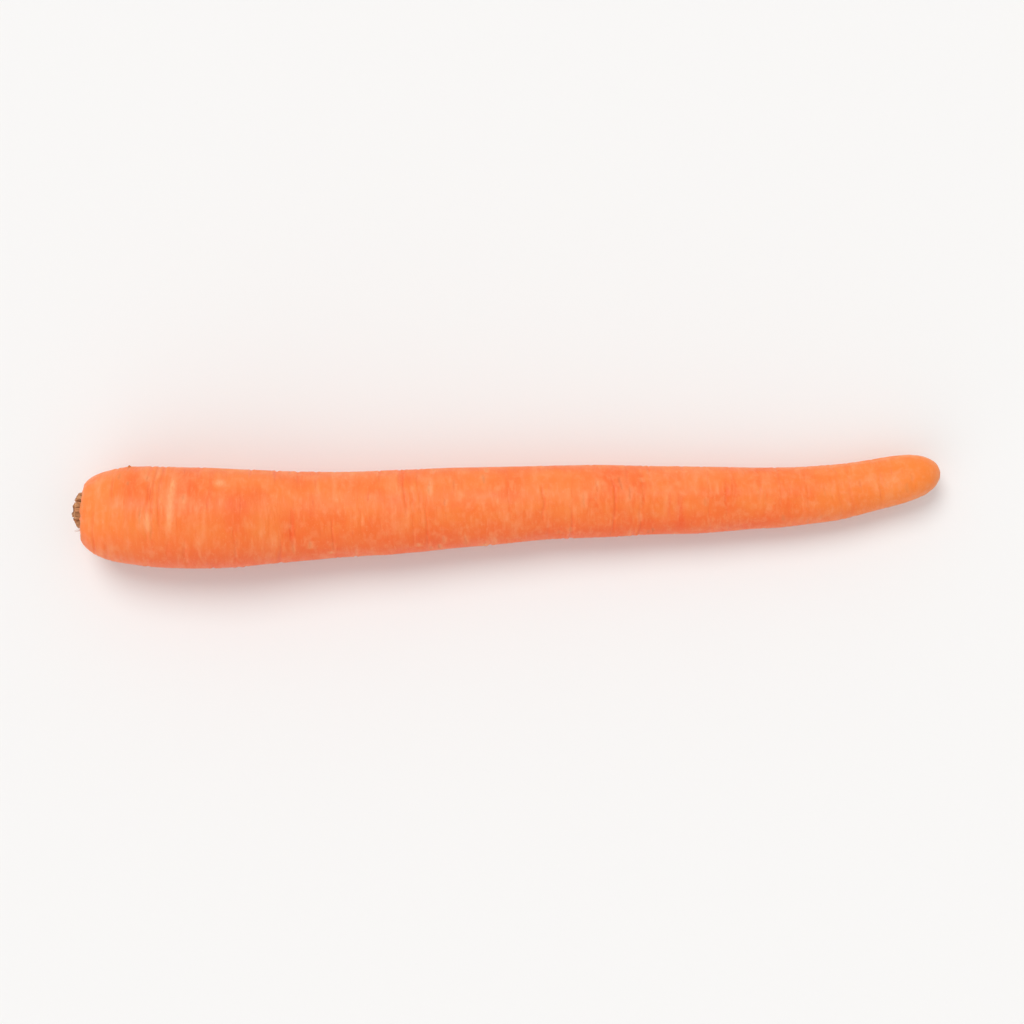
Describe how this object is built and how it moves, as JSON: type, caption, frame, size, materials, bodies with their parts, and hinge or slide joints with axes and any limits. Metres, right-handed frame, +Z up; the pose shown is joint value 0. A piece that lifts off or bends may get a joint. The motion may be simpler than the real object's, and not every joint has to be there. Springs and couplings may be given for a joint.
{
  "type": "carrot",
  "caption": "Slender topped carrot root lying on its side, gently bent, with a blunt tip and trimmed leaf-stalk stubs in its crown.",
  "frame": {"origin": "on the surface that the carrot lies on, under the middle of its bounding box", "axes": "+X from the crown towards the tip, +Y to the side that the tip bends to, +Z up"},
  "size_m": [0.1922, 0.0254, 0.0218],
  "materials": {
    "root_skin": "washed orange carrot skin, slightly moist, with paler scuffs and fine cross lines",
    "dry_stalk": "dry brown cut leaf stalk, matt and fibrous"
  },
  "bodies": {
    "root": {"carrot_root": "root_skin", "leaf_stalk_1": "dry_stalk", "leaf_stalk_2": "dry_stalk", "leaf_stalk_3": "dry_stalk", "leaf_stalk_4": "dry_stalk", "leaf_stalk_5": "dry_stalk", "leaf_stalk_6": "dry_stalk", "leaf_stalk_7": "dry_stalk", "leaf_stalk_8": "dry_stalk"}
  },
  "joints": []
}
